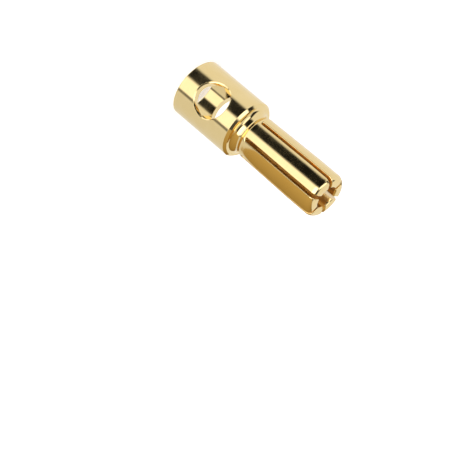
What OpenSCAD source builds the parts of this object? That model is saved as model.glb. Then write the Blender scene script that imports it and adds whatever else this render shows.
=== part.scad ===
// Male bullet plug for a battery lead: one piece turned from brass bar and plated with gold.
// It stands on the mouth of its solder cup, with +Z along its axis to the pin's tip.
// The origin is the centre of the mouth, and the cross hole runs along Y. All sizes are in mm.

/* [Solder cup] */
// Outside diameter of the cup
cup_d = 5.45; // [5:0.05:6.5]
// Height of the cup's straight side, from the mouth to the shoulder
cup_len = 6.3; // [5.6:0.1:9]
// Diameter of the bore that takes the bare end of the wire
cup_bore_d = 4; // [3.4:0.05:4.4]
// Depth of the bore's straight wall
cup_bore_depth = 5.1; // [4.9:0.1:5.4]
// Angle of the drill point left at the bottom of the cup
drill_angle = 130; // [118:1:150]
// Width of the bevel inside the mouth
mouth_bevel = 0.12; // [0.05:0.01:0.25]
// Width of the broken edge outside the mouth
mouth_break = 0.07; // [0.03:0.01:0.15]

/* [Cross hole] */
// Diameter of the hole drilled through both walls of the cup
cross_hole_d = 3.2; // [2:0.1:3.3]
// Height of the hole's centre above the mouth
cross_hole_z = 3.3; // [2.2:0.1:3.6]
// Width of the countersink at each end of the hole
cross_hole_bevel = 0.12; // [0.05:0.01:0.2]

/* [Shoulder and neck] */
// Width of the bevel round the shoulder
shoulder_bevel = 0.22; // [0.1:0.01:0.3]
// Radius of the groove that runs from the shoulder up to the pin
groove_r = 0.6; // [0.3:0.05:0.62]
// Diameter of the neck, where the groove is deepest
neck_d = 3.7; // [3.5:0.05:3.8]

/* [Contact pin] */
// Diameter of the pin where it leaves the groove
pin_d = 4; // [3.9:0.05:4.3]
// Diameter over the contact land, where the sprung fingers stand out most
land_d = 4.18; // [4.1:0.01:4.4]
// Length of the pin, from the middle of the groove to the tip
pin_len = 8.99; // [7.4:0.01:14]
// Length of the contact land, up to the rounding of the tip
land_len = 2.2; // [1:0.1:3]
// Radius of the rounding between the groove and the pin
pin_heel_r = 0.15; // [0.05:0.01:0.3]
// Radius of the rounding at the tip
nose_r = 0.58; // [0.2:0.01:0.7]

/* [Tip bore] */
// Diameter of the bore in the tip
tip_bore_d = 2; // [1.4:0.05:2.2]
// Height of the foot of the bore's straight wall above the middle of the groove
tip_bore_start = 0.38; // [0.3:0.01:0.5]
// Radius of the rounding at the bore's mouth
tip_bore_r = 0.25; // [0.05:0.01:0.27]

/* [Fingers] */
// Number of sprung fingers
finger_count = 6; // [4:1:8]
// Width of the slots between the fingers
slot_w = 0.32; // [0.2:0.01:0.45]
// Height of the slots' closed ends above the middle of the groove
slot_start = 0.6; // [0.5:0.01:1.4]
// Width of the broken edges along the slots
slot_bevel = 0.07; // [0.02:0.01:0.12]
// Turn of the first slot from the cross hole, in degrees
slot_turn = 19; // [0:0.5:60]

/* [Hidden] */
$fn = 120;
// how far cutters run past the surface they cut
over = 0.5;

cup_r = cup_d / 2;
cup_bore_r = cup_bore_d / 2;
neck_r = neck_d / 2;
pin_r = pin_d / 2;
land_r = land_d / 2;
tip_bore_wall_r = tip_bore_d / 2;

// heights from the mouth upwards
shoulder_z = cup_len + shoulder_bevel;
neck_z = shoulder_z + groove_r;
tip_z = neck_z + pin_len;
nose_z = tip_z - nose_r;
land_z = nose_z - land_len;
slot_end_z = neck_z + slot_start + slot_w / 2;

// centres of the groove and of the heel's rounding, which touch without a step
// (a neck as wide as the pin leaves no room for the rounding, so the pin then starts at the neck)
groove_c_r = neck_r + groove_r;
heel_c_r = pin_r - pin_heel_r;
heel_rise = pow(groove_r + pin_heel_r, 2) - pow(groove_c_r - heel_c_r, 2);
heel_z = neck_z + sqrt(max(0, heel_rise));

// lean of the broken edges along the slots, which follow the fingers' spread
finger_lean = atan((land_r - pin_r) / (nose_z - slot_end_z));
finger_len = (nose_z - slot_end_z) / cos(finger_lean);

// Half of the cup's outline, with its edges broken.
module cup_profile() {
    polygon([
        [0, 0],
        [cup_r - mouth_break, 0],
        [cup_r, mouth_break],
        [cup_r, cup_len],
        [cup_r - shoulder_bevel, shoulder_z],
        [0, shoulder_z],
    ]);
}

// The round groove that makes the neck, and the rounded heel of the pin above it.
module neck_profile() {
    difference() {
        polygon([
            [0, shoulder_z],
            [groove_c_r, shoulder_z],
            [groove_c_r, neck_z],
            [heel_c_r, heel_z],
            [0, heel_z],
        ]);
        translate([groove_c_r, neck_z]) circle(groove_r);
    }
    translate([heel_c_r, heel_z]) circle(pin_heel_r);
}

// The pin: sprung fingers that spread to the contact land, and a rounded nose.
module pin_profile() {
    polygon([
        [0, heel_z],
        [pin_r, heel_z],
        [pin_r, slot_end_z],
        [land_r, land_z],
        [land_r, nose_z],
        [0, nose_z],
    ]);
    translate([0, nose_z]) square([land_r - nose_r, nose_r]);
    translate([land_r - nose_r, nose_z]) circle(nose_r);
}

// The solder cup's bore, down to the cone that the drill leaves.
module cup_bore_profile() {
    polygon([
        [0, -over],
        [cup_bore_r + mouth_bevel + over, -over],
        [cup_bore_r, mouth_bevel],
        [cup_bore_r, cup_bore_depth],
        [0, cup_bore_depth + cup_bore_r / tan(drill_angle / 2)],
    ]);
}

// The tip's bore, with its mouth rounded over.
module tip_bore_profile() {
    wall_z = neck_z + tip_bore_start;
    polygon([
        [0, wall_z - tip_bore_wall_r / tan(drill_angle / 2)],
        [tip_bore_wall_r, wall_z],
        [tip_bore_wall_r, tip_z + over],
        [0, tip_z + over],
    ]);
    difference() {
        translate([0, tip_z - tip_bore_r]) square([tip_bore_wall_r + tip_bore_r, tip_bore_r + over]);
        translate([tip_bore_wall_r + tip_bore_r, tip_z - tip_bore_r]) circle(tip_bore_r);
    }
}

// The blank as it comes off the lathe.
module turned_blank() {
    rotate_extrude() difference() {
        union() {
            cup_profile();
            neck_profile();
            pin_profile();
        }
        cup_bore_profile();
        tip_bore_profile();
    }
}

// The drill and countersinks that pass through both walls of the cup.
module cross_hole() {
    hole_r = cross_hole_d / 2;
    bevel_tip_r = hole_r - cross_hole_bevel / 2;
    bevel_h = 1.5 * cross_hole_bevel + over;
    translate([0, 0, cross_hole_z]) rotate([90, 0, 0]) {
        cylinder(r = hole_r, h = cup_d + 2 * over, center = true);
        for (side = [0, 1]) mirror([0, 0, side])
            translate([0, 0, cup_r - 1.5 * cross_hole_bevel])
                cylinder(r1 = bevel_tip_r, r2 = bevel_tip_r + bevel_h, h = bevel_h);
    }
}

// One slot from inside the bore outwards, with a round closed end.
module slot() {
    inner_r = tip_bore_wall_r / 2;
    reach = land_r + over - inner_r;
    translate([inner_r, -slot_w / 2, slot_end_z]) cube([reach, slot_w, tip_z - slot_end_z + over]);
    translate([inner_r, 0, slot_end_z]) rotate([0, 90, 0]) cylinder(d = slot_w, h = reach);
    translate([pin_r, 0, slot_end_z]) rotate([0, finger_lean, 0]) slot_bevels();
}

// The two broken edges along a slot, and the countersink round its closed end.
module slot_bevels() {
    depth = slot_bevel + slot_w / 4;
    inner_w = slot_w / 4;
    outer_w = slot_w / 2 + slot_bevel + over;
    linear_extrude(height = finger_len + over)
        polygon([[-depth, -inner_w], [over, -outer_w], [over, outer_w], [-depth, inner_w]]);
    translate([-depth, 0, 0]) rotate([0, 90, 0])
        cylinder(r1 = inner_w, r2 = outer_w, h = depth + over);
}

module connector_body() {
    color("gold") difference() {
        turned_blank();
        cross_hole();
        for (i = [0 : finger_count - 1])
            rotate([0, 0, -90 + slot_turn + i * 360 / finger_count]) slot();
    }
}

connector_body();
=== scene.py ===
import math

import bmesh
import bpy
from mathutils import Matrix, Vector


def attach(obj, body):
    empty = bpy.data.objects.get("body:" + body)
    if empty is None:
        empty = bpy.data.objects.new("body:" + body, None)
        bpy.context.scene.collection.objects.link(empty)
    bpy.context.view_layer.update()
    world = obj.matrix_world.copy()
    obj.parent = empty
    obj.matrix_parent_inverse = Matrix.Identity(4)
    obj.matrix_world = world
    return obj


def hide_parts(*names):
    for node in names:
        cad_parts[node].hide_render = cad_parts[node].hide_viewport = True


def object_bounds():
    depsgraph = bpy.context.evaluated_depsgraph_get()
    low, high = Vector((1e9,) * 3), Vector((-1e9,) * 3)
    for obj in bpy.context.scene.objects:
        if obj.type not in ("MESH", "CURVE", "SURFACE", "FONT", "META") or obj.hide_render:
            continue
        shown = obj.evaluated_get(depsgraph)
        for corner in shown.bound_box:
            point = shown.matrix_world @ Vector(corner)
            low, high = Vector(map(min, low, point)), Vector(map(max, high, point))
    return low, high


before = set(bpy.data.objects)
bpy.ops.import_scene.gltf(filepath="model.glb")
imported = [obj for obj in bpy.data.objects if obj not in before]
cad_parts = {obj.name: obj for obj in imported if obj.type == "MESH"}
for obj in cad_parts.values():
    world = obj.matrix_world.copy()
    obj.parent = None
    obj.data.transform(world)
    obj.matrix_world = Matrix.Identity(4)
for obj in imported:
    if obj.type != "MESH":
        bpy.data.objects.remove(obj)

# %% [markdown]
# # A gold-plated bullet plug for a battery lead
# The real plug is turned in one go from brass bar. It has a solder cup with a cross hole, a round
# groove for a neck, and a pin that is bored and slotted into six sprung fingers. Then it is plated
# with gold. A mirror shows only its own curves and its surroundings. So the work here goes into
# true turned curves with broken edges, into a polish with fine lathe marks, and into a studio
# whose bright windows and dark openings draw the bands of light along the gold.

MM = 0.001
cad_low, cad_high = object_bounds()
print("frame box in mm:", [round(v / MM, 2) for v in (*cad_low, *cad_high)])

# %% [markdown]
# ## The sizes
# Every size of the plug is written once, in millimetres, where a drawing would state it. The
# cup's radius and the overall length come from the frame's own box, so this dressed part and the
# solid one can't drift apart. The heights follow from them, from the cup's mouth upwards.

# %% Sizes of the plug
cup_r = (cad_high.x - cad_low.x) / 2 / MM
tip_z = cad_high.z / MM
cup_len, cup_bore_r, cup_bore_depth = 6.3, 2.0, 5.1
mouth_bevel, mouth_break = 0.12, 0.07
hole_r, hole_z, hole_bevel = 1.6, 3.3, 0.1
shoulder_bevel, groove_r, neck_r = 0.22, 0.6, 1.85
pin_r, land_r, land_len, heel_r, nose_r = 2.0, 2.09, 2.2, 0.15, 0.58
tip_bore_r, tip_bore_start, tip_round, drill_angle = 1.0, 0.38, 0.25, 130
finger_count, slot_w, slot_start = 6, 0.32, 0.6
slot_edge_w, slot_edge_depth = 0.12, 0.07
# the first slot's turn from the cross hole, which faces -Y
first_turn = math.radians(-90 + 19)

shoulder_z = cup_len + shoulder_bevel
neck_z = shoulder_z + groove_r
groove_c = neck_r + groove_r
heel_c = pin_r - heel_r
heel_z = neck_z + math.sqrt((groove_r + heel_r) ** 2 - (groove_c - heel_c) ** 2)
nose_z = tip_z - nose_r
land_z = nose_z - land_len
bore_foot_z = neck_z + tip_bore_start
slot_end_z = neck_z + slot_start + slot_w / 2
# how far a cutter runs past the surface it cuts
over = 0.3
print("pin starts at", round(heel_z, 2), "mm, slots end at", round(slot_end_z - slot_w / 2, 2), "mm")

# %% [markdown]
# ## The outline
# A lathe cuts one outline all the way round. Straight runs and arcs describe it as a turner's
# drawing would: the cup and its bore, the bevelled shoulder, the groove that swings into the
# pin's heel, the pin that widens to its contact land, the nose and the tip's bore. Arcs get a
# point every few degrees, because a coarse curve shows at once in a mirror finish. Each long
# straight run also gets a point close to both of its ends. Those points hold the shading flat up
# to the edge, so the bend stays where the metal bends.

# %% Draw the outline
def arc(centre, radius, start, end, step=5.0):
    """Points along an arc, with its angles in degrees, counted from straight out."""
    count = max(2, round(abs(end - start) / step))
    turns = [math.radians(start + (end - start) * i / count) for i in range(count + 1)]
    return [(centre[0] + radius * math.cos(a), centre[1] + radius * math.sin(a)) for a in turns]


def divide(points, margin=0.05, longest=0.8):
    """Splits long straight runs, with a point close to both ends of each."""
    result = [points[0]]
    for (r0, z0), (r1, z1) in zip(points, points[1:]):
        length = math.hypot(r1 - r0, z1 - z0)
        stops = [1.0]
        if length > 4 * margin:
            count = math.ceil((length - 2 * margin) / longest)
            stops = [(margin + (length - 2 * margin) * i / count) / length for i in range(count + 1)] + [1.0]
        result += [(r0 + (r1 - r0) * t, z0 + (z1 - z0) * t) for t in stops]
    return result


heel_turn = math.degrees(math.asin((heel_z - neck_z) / (groove_r + heel_r)))
drill_slope = 1 / math.tan(math.radians(drill_angle / 2))
nose_arc = arc((land_r - nose_r, nose_z), nose_r, 0, 90)
mouth_arc = arc((tip_bore_r + tip_round, tip_z - tip_round), tip_round, 90, 180, 9)
outline = divide([
    (0, cup_bore_depth + cup_bore_r * drill_slope),
    (cup_bore_r, cup_bore_depth),
    (cup_bore_r, mouth_bevel),
    (cup_bore_r + mouth_bevel, 0),
    (cup_r - mouth_break, 0),
    (cup_r, mouth_break),
    (cup_r, cup_len),
    (cup_r - shoulder_bevel, shoulder_z),
    *arc((groove_c, neck_z), groove_r, 270, 180 - heel_turn),
    *arc((heel_c, heel_z), heel_r, -heel_turn, 0)[1:],
    (pin_r, slot_end_z),
    (land_r, land_z),
    *nose_arc,
    *mouth_arc,
    (tip_bore_r, bore_foot_z),
    (0, bore_foot_z - tip_bore_r * drill_slope),
])
print("the outline has", len(outline), "points")

# %% [markdown]
# ## The blank
# Spinning the outline round the axis gives the blank as it leaves the lathe. The outline starts
# and ends on the axis, so the skin is closed. One degree between its lines keeps the silhouette
# round and the bands of light straight.

# %% Spin the blank
def spin(points, around=360):
    """A closed mesh: an outline that starts and ends on the axis, turned round Z."""
    mesh = bmesh.new()
    turns = [2 * math.pi * i / around for i in range(around)]
    rings = []
    for rho, z in points:
        if rho == 0:
            rings.append([mesh.verts.new((0, 0, z * MM))] * around)
        else:
            ring = [Vector((rho * math.cos(a), rho * math.sin(a), z)) for a in turns]
            rings.append([mesh.verts.new(p * MM) for p in ring])
    for low, high in zip(rings, rings[1:]):
        for i in range(around):
            j = (i + 1) % around
            mesh.faces.new(dict.fromkeys((low[i], low[j], high[j], high[i])))
    bmesh.ops.recalc_face_normals(mesh, faces=mesh.faces)
    return mesh


def make_object(name, mesh):
    """Turns a bmesh into an object at the origin."""
    data = bpy.data.meshes.new(name)
    mesh.to_mesh(data)
    mesh.free()
    thing = bpy.data.objects.new(name, data)
    bpy.context.scene.collection.objects.link(thing)
    return thing


plug = make_object("connector", spin(outline))
print("faces on the blank:", len(plug.data.polygons))

# %% [markdown]
# ## The cross hole
# Solder is fed through a hole that crosses both walls of the cup. On the real part its edge is
# broken all round by tumbling, so the bright rim is equally wide everywhere. A cone-shaped
# countersink would be wide at the top and bottom and vanish at the sides, where the cup curves
# away. This cutter's rings follow the cup's own surface instead: one lies a little outside it and
# is wider than the hole, the next lies a little inside it and is as wide as the hole. A flat ring
# beyond them closes each end.

# %% Make the cutter for the cross hole
def loft(rings):
    """A closed mesh through rings of points in mm, each with as many points."""
    mesh = bmesh.new()
    rows = [[mesh.verts.new(Vector(p) * MM) for p in ring] for ring in rings]
    for low, high in zip(rows, rows[1:]):
        for i in range(len(low)):
            j = (i + 1) % len(low)
            mesh.faces.new((low[i], low[j], high[j], high[i]))
    mesh.faces.new(rows[0])
    mesh.faces.new(rows[-1])
    bmesh.ops.recalc_face_normals(mesh, faces=mesh.faces)
    return mesh


def hole_ring(wider, depth, steps=120):
    """The hole's rim, widened by `wider`, at `depth` inside the cup's surface."""
    turns = [2 * math.pi * i / steps for i in range(steps)]
    flat = [((hole_r + wider) * math.cos(a), (hole_r + wider) * math.sin(a)) for a in turns]
    return [(x, math.sqrt(cup_r**2 - x**2) - depth, z) for x, z in flat]


outside = hole_ring(hole_bevel + over, -over)
flat_end = [(x, cup_r + 1, z) for x, y, z in outside]
far_half = [flat_end, outside, hole_ring(0, hole_bevel)]
near_half = [[(x, -y, z) for x, y, z in ring] for ring in far_half]
drill = [[(x, y, hole_z + z) for x, y, z in ring] for ring in near_half + far_half[::-1]]
hole_cutter = make_object("hole_cutter", loft(drill))
print("faces on the drill:", len(hole_cutter.data.polygons))

# %% [markdown]
# ## The cutters for one slot
# A thin saw makes the slots that let the fingers spring. One slot takes three cutters: a slab with
# a round end, a bar that follows the finger's outline over the nose and into the bore and breaks
# both edges on its way, and a flared plug for the slot's closed end. The bar and the plug have
# hollow flanks, quarter ellipses that are wider than deep. They leave an edge that is worn round,
# and it catches a fine line of light.

# %% Make the slot's cutters
end_turns = [math.radians(180 + 180 * i / 16) for i in range(17)]
slab_side = [
    (-slot_w / 2, tip_z + over),
    *[(slot_w / 2 * math.cos(a), slot_end_z + slot_w / 2 * math.sin(a)) for a in end_turns],
    (slot_w / 2, tip_z + over),
]
slab_reach = (tip_bore_r / 2, land_r + over)
slab = make_object("slab", loft([[(x, y, z) for y, z in slab_side] for x in slab_reach]))

# how steeply a flank starts and ends, in degrees, and how far it stands out of the metal, in mm
flank_start, flank_end, flank_out = 12, 78, 0.1


def edge_flank(steps=4):
    """Half of an edge cutter's section as (across, outwards) from the slot's middle."""
    curve = []
    for i in range(steps + 1):
        a = math.radians(flank_start + (flank_end - flank_start) * i / steps)
        across = slot_w / 2 + slot_edge_w * (1 - math.cos(a))
        curve.append((across, -slot_edge_depth * (1 - math.sin(a))))
    (w0, n0), (w1, n1) = curve[-2:]
    reach = (flank_out - n1) / (n1 - n0)
    foot = (slot_w / 4, -slot_edge_depth - slot_w / 2)
    return [foot, *curve, (w1 + (w1 - w0) * reach, flank_out)]


flank = edge_flank()
section = flank + [(-w, n) for w, n in reversed(flank)]
finger_path = [
    (pin_r, slot_end_z),
    (land_r, land_z),
    *nose_arc,
    *mouth_arc,
    (tip_bore_r, tip_z - 2 * tip_round),
]
# half of the width that stays inside the slot, where the bar cuts nothing
inner_w = 0.45 * slot_w
bar = []
for i, (rho, z) in enumerate(finger_path):
    # the broken edge runs out over the rounding of the bore's mouth
    kept = min(1, (rho - tip_bore_r) / tip_round)
    before, after = finger_path[max(i - 1, 0)], finger_path[min(i + 1, len(finger_path) - 1)]
    along = Vector((after[0] - before[0], after[1] - before[1])).normalized()
    ring = []
    for w, n in section:
        narrowed = min(abs(w), inner_w + max(0, abs(w) - inner_w) * kept)
        ring.append((rho + n * along.y, math.copysign(narrowed, w), z - n * along.x))
    bar.append(ring)
edge_cutter = make_object("edge_cutter", loft(bar))

round_turns = [2 * math.pi * i / 24 for i in range(24)]
flare = [
    [(pin_r + n, w * math.cos(a), slot_end_z + w * math.sin(a)) for a in round_turns]
    for w, n in flank
]
end_cutter = make_object("end_cutter", loft(flare))
slot_cutters = (slab, edge_cutter, end_cutter)
print("faces on one slot's cutters:", sum(len(o.data.polygons) for o in slot_cutters))

# %% [markdown]
# ## The gold
# Plated gold over polished brass is a mirror with a strong colour of its own. Three small things
# keep it from looking like plastic. Rings left by the tool run round the axis, as a very low
# relief that follows radius and height. A slow swell, about a millimetre across, makes the edges
# of the reflections waver. The polish itself is uneven, so the roughness varies in patches.
# A bevel of two hundredths of a millimetre in the shading rounds every edge that is too small to
# model. The sawn faces and the tip's bore get a coarser gold, because no polishing wheel reaches
# them. Their deeper colour is painted shade, for light that leaves them only after several bounces.

# %% Mix the gold
def pick(sockets, name, kind):
    """The socket of that name and kind, where a node has several of one name."""
    return next(s for s in sockets if s.name == name and s.type == kind)


def gold_material(name, tints, roughness, ring_height, swell_height):
    """Gold plate with tool rings, a slow swell and an uneven polish, all in object space."""
    material = bpy.data.materials.new(name)
    material.use_nodes = True
    nodes, links = material.node_tree.nodes, material.node_tree.links
    shader = nodes["Principled BSDF"]
    shader.inputs["Metallic"].default_value = 1.0

    def noise(vector, scale, detail):
        node = nodes.new("ShaderNodeTexNoise")
        node.inputs["Scale"].default_value = scale
        node.inputs["Detail"].default_value = detail
        links.new(vector, node.inputs["Vector"])
        return node.outputs["Fac"]

    def spread(value, low, high):
        """Stretches a noise's middle range to run from low to high."""
        node = nodes.new("ShaderNodeMapRange")
        node.inputs["From Min"].default_value = 0.3
        node.inputs["From Max"].default_value = 0.7
        node.inputs["To Min"].default_value = low
        node.inputs["To Max"].default_value = high
        links.new(value, node.inputs["Value"])
        return node.outputs["Result"]

    def relief(height, distance, normal):
        node = nodes.new("ShaderNodeBump")
        node.inputs["Strength"].default_value = 1.0
        node.inputs["Distance"].default_value = distance * MM
        links.new(height, node.inputs["Height"])
        links.new(normal, node.inputs["Normal"])
        return node.outputs["Normal"]

    place = nodes.new("ShaderNodeTexCoord").outputs["Object"]
    split = nodes.new("ShaderNodeSeparateXYZ")
    links.new(place, split.inputs[0])
    flat = nodes.new("ShaderNodeCombineXYZ")
    links.new(split.outputs["X"], flat.inputs["X"])
    links.new(split.outputs["Y"], flat.inputs["Y"])
    radius = nodes.new("ShaderNodeVectorMath")
    radius.operation = "LENGTH"
    links.new(flat.outputs[0], radius.inputs[0])
    lathe = nodes.new("ShaderNodeCombineXYZ")
    links.new(radius.outputs["Value"], lathe.inputs["X"])
    links.new(split.outputs["Z"], lathe.inputs["Y"])

    rings = noise(lathe.outputs[0], 9 / MM, 2.0)
    swell = noise(place, 1.1 / MM, 1.0)
    patches = noise(place, 0.9 / MM, 5.0)
    edges = nodes.new("ShaderNodeBevel")
    edges.samples = 6
    edges.inputs["Radius"].default_value = 0.02 * MM
    normal = relief(swell, swell_height, edges.outputs["Normal"])
    normal = relief(rings, ring_height, normal)
    links.new(normal, shader.inputs["Normal"])
    links.new(spread(patches, roughness * 0.75, roughness * 1.3), shader.inputs["Roughness"])

    tint = nodes.new("ShaderNodeMix")
    tint.data_type = "RGBA"
    for socket, colour in zip("AB", tints):
        pick(tint.inputs, socket, "RGBA").default_value = (*colour, 1)
    links.new(spread(patches, 0.0, 1.0), pick(tint.inputs, "Factor", "VALUE"))
    links.new(pick(tint.outputs, "Result", "RGBA"), shader.inputs["Base Color"])
    return material


pale_tints = ((0.90, 0.71, 0.36), (0.885, 0.685, 0.33))
# the deeper tints are painted shade, for light that bounces inside the slots and the bore
painted_shade_tints = ((0.86, 0.63, 0.28), (0.84, 0.59, 0.23))
turned_gold = gold_material("turned_gold", pale_tints, 0.1, 0.0001, 0.0018)
sawn_gold_painted_shade = gold_material("sawn_gold_painted_shade", painted_shade_tints, 0.28, 0.0003, 0.002)
print("materials:", turned_gold.name, sawn_gold_painted_shade.name)

# %% [markdown]
# ## Six slots from one set of cutters
# The slots are a pattern: the same cut, repeated round the axis. So a Geometry Nodes tree makes
# them. It puts one point per finger at the origin, turns a cutter on each, realizes the copies and
# takes them away from the blank. The number of fingers and the first turn are inputs, so another
# plug needs two new numbers only. At its end the tree gives out the two golds. It knows a sawn
# face by its direction, because no face of a turned blank looks along the way round the axis. It
# knows the tip's bore by its radius and height.

# %% Build the tree
tree = bpy.data.node_groups.new("cut_fingers", "GeometryNodeTree")
tree_nodes, tree_links = tree.nodes, tree.links


def tree_input(name, kind):
    return tree.interface.new_socket(name, in_out="INPUT", socket_type="NodeSocket" + kind)


def tree_node(kind, inputs=None, **settings):
    """A node with its settings, and its inputs linked or given."""
    node = tree_nodes.new(kind)
    for name, value in settings.items():
        setattr(node, name, value)
    for key, value in (inputs or {}).items():
        if isinstance(value, bpy.types.NodeSocket):
            tree_links.new(value, node.inputs[key])
        else:
            node.inputs[key].default_value = value
    return node


def cut_away(body, cutter):
    return tree_node("GeometryNodeMeshBoolean", {"Mesh 1": body, "Mesh 2": cutter},
                     operation="DIFFERENCE", solver="MANIFOLD").outputs["Mesh"]


tree_input("Geometry", "Geometry")
sockets = {
    "Fingers": (tree_input("Fingers", "Int"), finger_count),
    "First turn": (tree_input("First turn", "Float"), first_turn),
    "Cross hole": (tree_input("Cross hole", "Object"), hole_cutter),
    "Slot": (tree_input("Slot", "Object"), slab),
    "Slot edges": (tree_input("Slot edges", "Object"), edge_cutter),
    "Slot end": (tree_input("Slot end", "Object"), end_cutter),
    "Turned": (tree_input("Turned", "Material"), turned_gold),
    "Sawn and shaded": (tree_input("Sawn and shaded", "Material"), sawn_gold_painted_shade),
}
tree.interface.new_socket("Geometry", in_out="OUTPUT", socket_type="NodeSocketGeometry")
given = tree_node("NodeGroupInput").outputs
result = tree_node("NodeGroupOutput")

points = tree_node("GeometryNodePoints", {"Count": given["Fingers"]})
share = tree_node("ShaderNodeMath", {0: 2 * math.pi, 1: given["Fingers"]}, operation="DIVIDE")
index = tree_node("GeometryNodeInputIndex").outputs[0]
turn = tree_node("ShaderNodeMath", {0: index, 1: share.outputs[0], 2: given["First turn"]},
                 operation="MULTIPLY_ADD")
rotation = tree_node("ShaderNodeCombineXYZ", {"Z": turn.outputs[0]})

hole = tree_node("GeometryNodeObjectInfo", {"Object": given["Cross hole"]})
body = cut_away(given["Geometry"], hole.outputs["Geometry"])
for name in ("Slot", "Slot edges", "Slot end"):
    cutter = tree_node("GeometryNodeObjectInfo", {"Object": given[name]})
    copies = tree_node("GeometryNodeInstanceOnPoints", {
        "Points": points.outputs[0], "Instance": cutter.outputs["Geometry"], "Rotation": rotation.outputs[0]})
    body = cut_away(body, tree_node("GeometryNodeRealizeInstances", {0: copies.outputs[0]}).outputs[0])



def vector(operation, *values):
    return tree_node("ShaderNodeVectorMath", dict(enumerate(values)), operation=operation).outputs


def number(operation, *values):
    return tree_node("ShaderNodeMath", dict(enumerate(values)), operation=operation).outputs[0]


# a sawn face looks along the way round the axis to at least this share
sawn_share = 0.9
bore_limit = (tip_bore_r + 0.03) * MM
position = tree_node("GeometryNodeInputPosition").outputs[0]
normal = tree_node("GeometryNodeInputNormal").outputs[0]
around = vector("NORMALIZE", vector("CROSS_PRODUCT", (0, 0, 1), position)["Vector"])["Vector"]
sideways = number("ABSOLUTE", vector("DOT_PRODUCT", around, normal)["Value"])
is_sawn = number("GREATER_THAN", sideways, sawn_share)
parts = tree_node("ShaderNodeSeparateXYZ", {0: position}).outputs
flat = tree_node("ShaderNodeCombineXYZ", {"X": parts["X"], "Y": parts["Y"]}).outputs[0]
is_inside = number("LESS_THAN", vector("LENGTH", flat)["Value"], bore_limit)
is_high = number("GREATER_THAN", parts["Z"], neck_z * MM)
# the sawn faces and the tip's bore take the rougher gold, whose deeper tint is painted shade
is_rough_and_shaded = number("MAXIMUM", is_sawn, number("MULTIPLY", is_inside, is_high))
body = tree_node("GeometryNodeRealizeInstances", {0: body}).outputs[0]
body = tree_node("GeometryNodeSetMaterial", {"Geometry": body, "Material": given["Turned"]}).outputs[0]
body = tree_node("GeometryNodeSetMaterial", {
    "Geometry": body, "Material": given["Sawn and shaded"], "Selection": is_rough_and_shaded}).outputs[0]
tree_links.new(body, result.inputs[0])
print("nodes in the tree:", len(tree_nodes))

# %% [markdown]
# ## Cut, bake and tidy the mesh
# The tree's result is baked into the plug, and the cutters go. Points that fell together are
# merged. Faces that meet at less than thirty degrees are shaded as one surface, which joins the
# arcs and keeps the edges of the bevels and slots crisp.

# %% Bake the plug
modifier = plug.modifiers.new("cut_fingers", "NODES")
modifier.node_group = tree
for socket, value in sockets.values():
    modifier[socket.identifier] = value
bpy.context.view_layer.update()
graph = bpy.context.evaluated_depsgraph_get()
plug.data = bpy.data.meshes.new_from_object(plug.evaluated_get(graph), depsgraph=graph)
plug.modifiers.clear()
for cutter in (hole_cutter, *slot_cutters):
    bpy.data.objects.remove(cutter)

merge_gap = 0.0001 * MM
skin = bmesh.new()
skin.from_mesh(plug.data)
bmesh.ops.remove_doubles(skin, verts=skin.verts, dist=merge_gap)
bmesh.ops.dissolve_degenerate(skin, edges=skin.edges, dist=merge_gap)
open_edges = sum(1 for edge in skin.edges if len(edge.link_faces) != 2)
print("triangles:", sum(len(f.verts) - 2 for f in skin.faces), "open edges:", open_edges,
      "volume in mm3:", round(skin.calc_volume() / MM**3, 1))
skin.to_mesh(plug.data)
skin.free()
plug.data.shade_smooth()
plug.data.set_sharp_from_angle(angle=math.radians(30))
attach(plug, "root")
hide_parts("connector_body")

# %% [markdown]
# ## The camera
# The plug stands on its cup, because that is how it rests. The camera leans instead: it rolls far
# over on its own axis, so in the picture the plug lies slantwise, and it looks down on the plug
# by about 25 degrees. A long lens keeps the cup's sides parallel, as in catalogue work.

# %% Place the camera
view_azimuth, view_elevation, view_roll = math.radians(2.0), math.radians(25.27), math.radians(-131.42)
view_distance = 167.74 * MM
aim = Vector((7.25, -0.25, 10.84)) * MM
look = Vector((
    math.sin(view_azimuth) * math.cos(view_elevation),
    math.cos(view_azimuth) * math.cos(view_elevation),
    -math.sin(view_elevation),
))
lens = bpy.data.cameras.new("camera")
lens.sensor_width = 36
lens.lens = 159.3
lens.clip_start = 0.01
lens.clip_end = 10
camera = bpy.data.objects.new("camera", lens)
bpy.context.scene.collection.objects.link(camera)
stance = look.to_track_quat("-Z", "Y").to_matrix() @ Matrix.Rotation(-view_roll, 3, "Z")
camera.matrix_world = Matrix.Translation(aim - look * view_distance) @ stance.to_4x4()
bpy.context.scene.camera = camera
print("the camera stands", round(view_distance / MM), "mm from its aim")

# %% [markdown]
# ## The studio
# Polished gold is lit inside a white tent. Where the tent has a window, the metal turns bright
# yellow. Where it has an opening for the lens, the metal turns black, and without that black it
# would look like paint. The tent here is the world itself. Each window or opening is a
# rectangle on the sky, given by its bearing, its height above the horizon, its width, height and
# slant in degrees, and how soft its border is. Because a standing cylinder mirrors one band of
# that sky, upright rectangles become straight bands along cup and pin alike.

# %% Hang the tent
world = bpy.data.worlds.new("studio")
bpy.context.scene.world = world
world.use_nodes = True
sky_nodes, sky_links = world.node_tree.nodes, world.node_tree.links
sky_nodes.clear()
direction = sky_nodes.new("ShaderNodeTexCoord").outputs["Generated"]


def sky(kind, operation, *values, output=0):
    """A maths node of the world, with its inputs linked or given."""
    node = sky_nodes.new(kind)
    node.operation = operation
    for socket, value in zip(node.inputs, values):
        if isinstance(value, bpy.types.NodeSocket):
            sky_links.new(value, socket)
        else:
            socket.default_value = value
    return node.outputs[output]


def along(axis):
    return sky("ShaderNodeVectorMath", "DOT_PRODUCT", direction, axis, output="Value")


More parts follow.
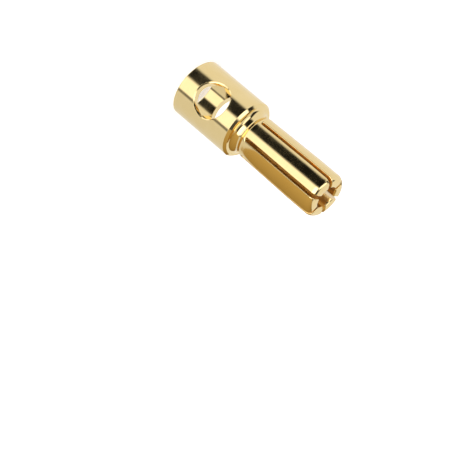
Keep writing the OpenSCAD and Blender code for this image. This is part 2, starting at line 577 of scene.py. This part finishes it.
def patch(bearing, height, width, tall, slant=0.0, soft=8.0):
    """1 inside a rectangle on the sky and 0 outside it, all in degrees."""
    a, e, s = math.radians(bearing), math.radians(height), math.radians(slant)
    middle = Vector((math.cos(e) * math.cos(a), math.cos(e) * math.sin(a), math.sin(e)))
    right = Vector((-math.sin(a), math.cos(a), 0))
    top = middle.cross(right)
    depth = along(middle)
    mask = sky("ShaderNodeMath", "GREATER_THAN", depth, 0.0)
    level_axis = right * math.cos(s) + top * math.sin(s)
    upright_axis = top * math.cos(s) - right * math.sin(s)
    for axis, size in ((level_axis, width), (upright_axis, tall)):
        ratio = sky("ShaderNodeMath", "ABSOLUTE", sky("ShaderNodeMath", "DIVIDE", along(axis), depth))
        fade = sky_nodes.new("ShaderNodeMapRange")
        fade.interpolation_type = "SMOOTHSTEP"
        fade.inputs["From Min"].default_value = math.tan(math.radians((size - soft) / 2))
        fade.inputs["From Max"].default_value = math.tan(math.radians((size + soft) / 2))
        fade.inputs["To Min"].default_value = 1.0
        fade.inputs["To Max"].default_value = 0.0
        sky_links.new(ratio, fade.inputs["Value"])
        mask = sky("ShaderNodeMath", "MULTIPLY", mask, fade.outputs["Result"])
    return mask


def paint(level, value, mask):
    """level where the mask is 0, value where it is 1."""
    node = sky_nodes.new("ShaderNodeMapRange")
    sky_links.new(mask, node.inputs["Value"])
    for name, amount in (("To Min", level), ("To Max", value)):
        if isinstance(amount, bpy.types.NodeSocket):
            sky_links.new(amount, node.inputs[name])
        else:
            node.inputs[name].default_value = amount
    return node.outputs["Result"]


tent_level = 0.91
# brightness, then bearing, height, width, tall, slant and soft in degrees
sky_patches = [
    ("warm side", 0.78, 15, -25, 88, 90, 0, 16),
    ("window", 1.38, -75, -27, 48, 28, 0, 8),
    ("low gap", 0.12, -76, -56, 40, 30, 0, 8),
    ("soft box", 2.4, -72, 15, 54, 62, 0, 8),
    ("opening", 0.01, -124, 0, 48, 82, 0, 14),
    ("low window", 1.3, -121, -60, 56, 54, 0, 6),
    ("dim ceiling", 0.08, -62, 62, 62, 34, 0, 8),
    ("slanted gap", 0.02, -188, 48, 62, 18, -10, 6),
    ("high window", 1.9, -132, 56, 40, 18, 0, 6),
    ("narrow gap", 0.2, -43, -27, 9, 44, 0, 6),
]
level = tent_level
for name, value, *place in sky_patches:
    level = paint(level, value, patch(*place))

rays = sky_nodes.new("ShaderNodeLightPath").outputs
background = sky_nodes.new("ShaderNodeBackground")
background.inputs["Color"].default_value = (1, 1, 1, 1)
sky_links.new(paint(level, 1.0, rays["Is Camera Ray"]), background.inputs["Strength"])
sky_links.new(background.outputs[0], sky_nodes.new("ShaderNodeOutputWorld").inputs["Surface"])
print("patches on the tent:", len(sky_patches))

# %% [markdown]
# ## The floor
# Catalogue pictures stand on pure white. The floor is white paint that the tent lights, so the
# plug leaves a faint shadow where it stands. For the camera alone it glows a little, which lifts
# it to the white of the backdrop. The floor stays out of the gold's reflections, because the
# tent's windows have to show below the horizon too.

# %% Lay the floor
def flat_card(name, corner, side_a, side_b, material):
    """A rectangle from a corner and two sides, in mm."""
    corner, side_a, side_b = Vector(corner), Vector(side_a), Vector(side_b)
    mesh = bmesh.new()
    corners = (corner, corner + side_a, corner + side_a + side_b, corner + side_b)
    mesh.faces.new([mesh.verts.new(c * MM) for c in corners])
    card = make_object(name, mesh)
    card.data.materials.append(material)
    return card


floor_paint = bpy.data.materials.new("floor_paint")
floor_paint.use_nodes = True
nodes, links = floor_paint.node_tree.nodes, floor_paint.node_tree.links
paint_shader = nodes["Principled BSDF"]
paint_shader.inputs["Base Color"].default_value = (0.8, 0.8, 0.8, 1)
paint_shader.inputs["Roughness"].default_value = 0.9
paint_shader.inputs["Specular IOR Level"].default_value = 0.0
paint_shader.inputs["Emission Color"].default_value = (1, 1, 1, 1)
camera_glow = 0.5
lift = nodes.new("ShaderNodeMath")
lift.operation = "MULTIPLY"
lift.inputs[1].default_value = camera_glow
links.new(nodes.new("ShaderNodeLightPath").outputs["Is Camera Ray"], lift.inputs[0])
links.new(lift.outputs[0], paint_shader.inputs["Emission Strength"])
floor = flat_card("floor", (-1000, -1000, 0), (2000, 0, 0), (0, 2000, 0), floor_paint)
floor.visible_glossy = False
floor.visible_shadow = False
print("the floor glows for the camera at", camera_glow)

# %% [markdown]
# ## A painted golden neighbour
# Plugs are sold by the handful, and a heap of gold turns warm where the pieces mirror each other.
# One card stands beside the pin, glows in a dull gold and is seen only by the metal: a painted
# reflection of a neighbouring plug. It gives the pin's far side its deep orange, and its glow darkens
# from one upright edge of the card towards the other, as painted shade. The card starts near the
# top of the cup, so the cup stays pale.

# %% Stand the card
neighbour_glow_painted = bpy.data.materials.new("neighbour_glow_painted")
neighbour_glow_painted.use_nodes = True
nodes, links = neighbour_glow_painted.node_tree.nodes, neighbour_glow_painted.node_tree.links
nodes.clear()
card_x, card_y, card_z, card_wide, card_tall = 7, -7, 5, 18, 20
fade_wide = 16
glow = nodes.new("ShaderNodeEmission")
across = nodes.new("ShaderNodeSeparateXYZ")
links.new(nodes.new("ShaderNodeTexCoord").outputs["Object"], across.inputs[0])
fade = nodes.new("ShaderNodeMapRange")
fade.data_type = "FLOAT_VECTOR"
# the glow runs from a light to a dark gold across the card: a painted reflection with painted shade
for name, value in (
    ("From_Min_FLOAT3", (card_y * MM,) * 3),
    ("From_Max_FLOAT3", ((card_y + fade_wide) * MM,) * 3),
    ("To_Min_FLOAT3", (0.6, 0.43, 0.17)),
    ("To_Max_FLOAT3", (0.3, 0.19, 0.05)),
):
    next(i for i in fade.inputs if i.identifier == name).default_value = value
links.new(across.outputs["Y"], next(i for i in fade.inputs if i.identifier == "Vector"))
links.new(fade.outputs["Vector"], glow.inputs["Color"])
links.new(glow.outputs[0], nodes.new("ShaderNodeOutputMaterial").inputs["Surface"])
corner = (card_x, card_y, card_z)
card = flat_card("golden_neighbour", corner, (0, card_wide, 0), (0, 0, card_tall), neighbour_glow_painted)
for sight in ("visible_camera", "visible_diffuse", "visible_transmission", "visible_shadow"):
    setattr(card, sight, False)
print("the card is", card_wide, "by", card_tall, "mm")

# %% [markdown]
# ## Finish
# The plain view transform keeps white at white and leaves the gold's colour alone.

# %% Finish
bpy.context.scene.view_settings.view_transform = "Standard"
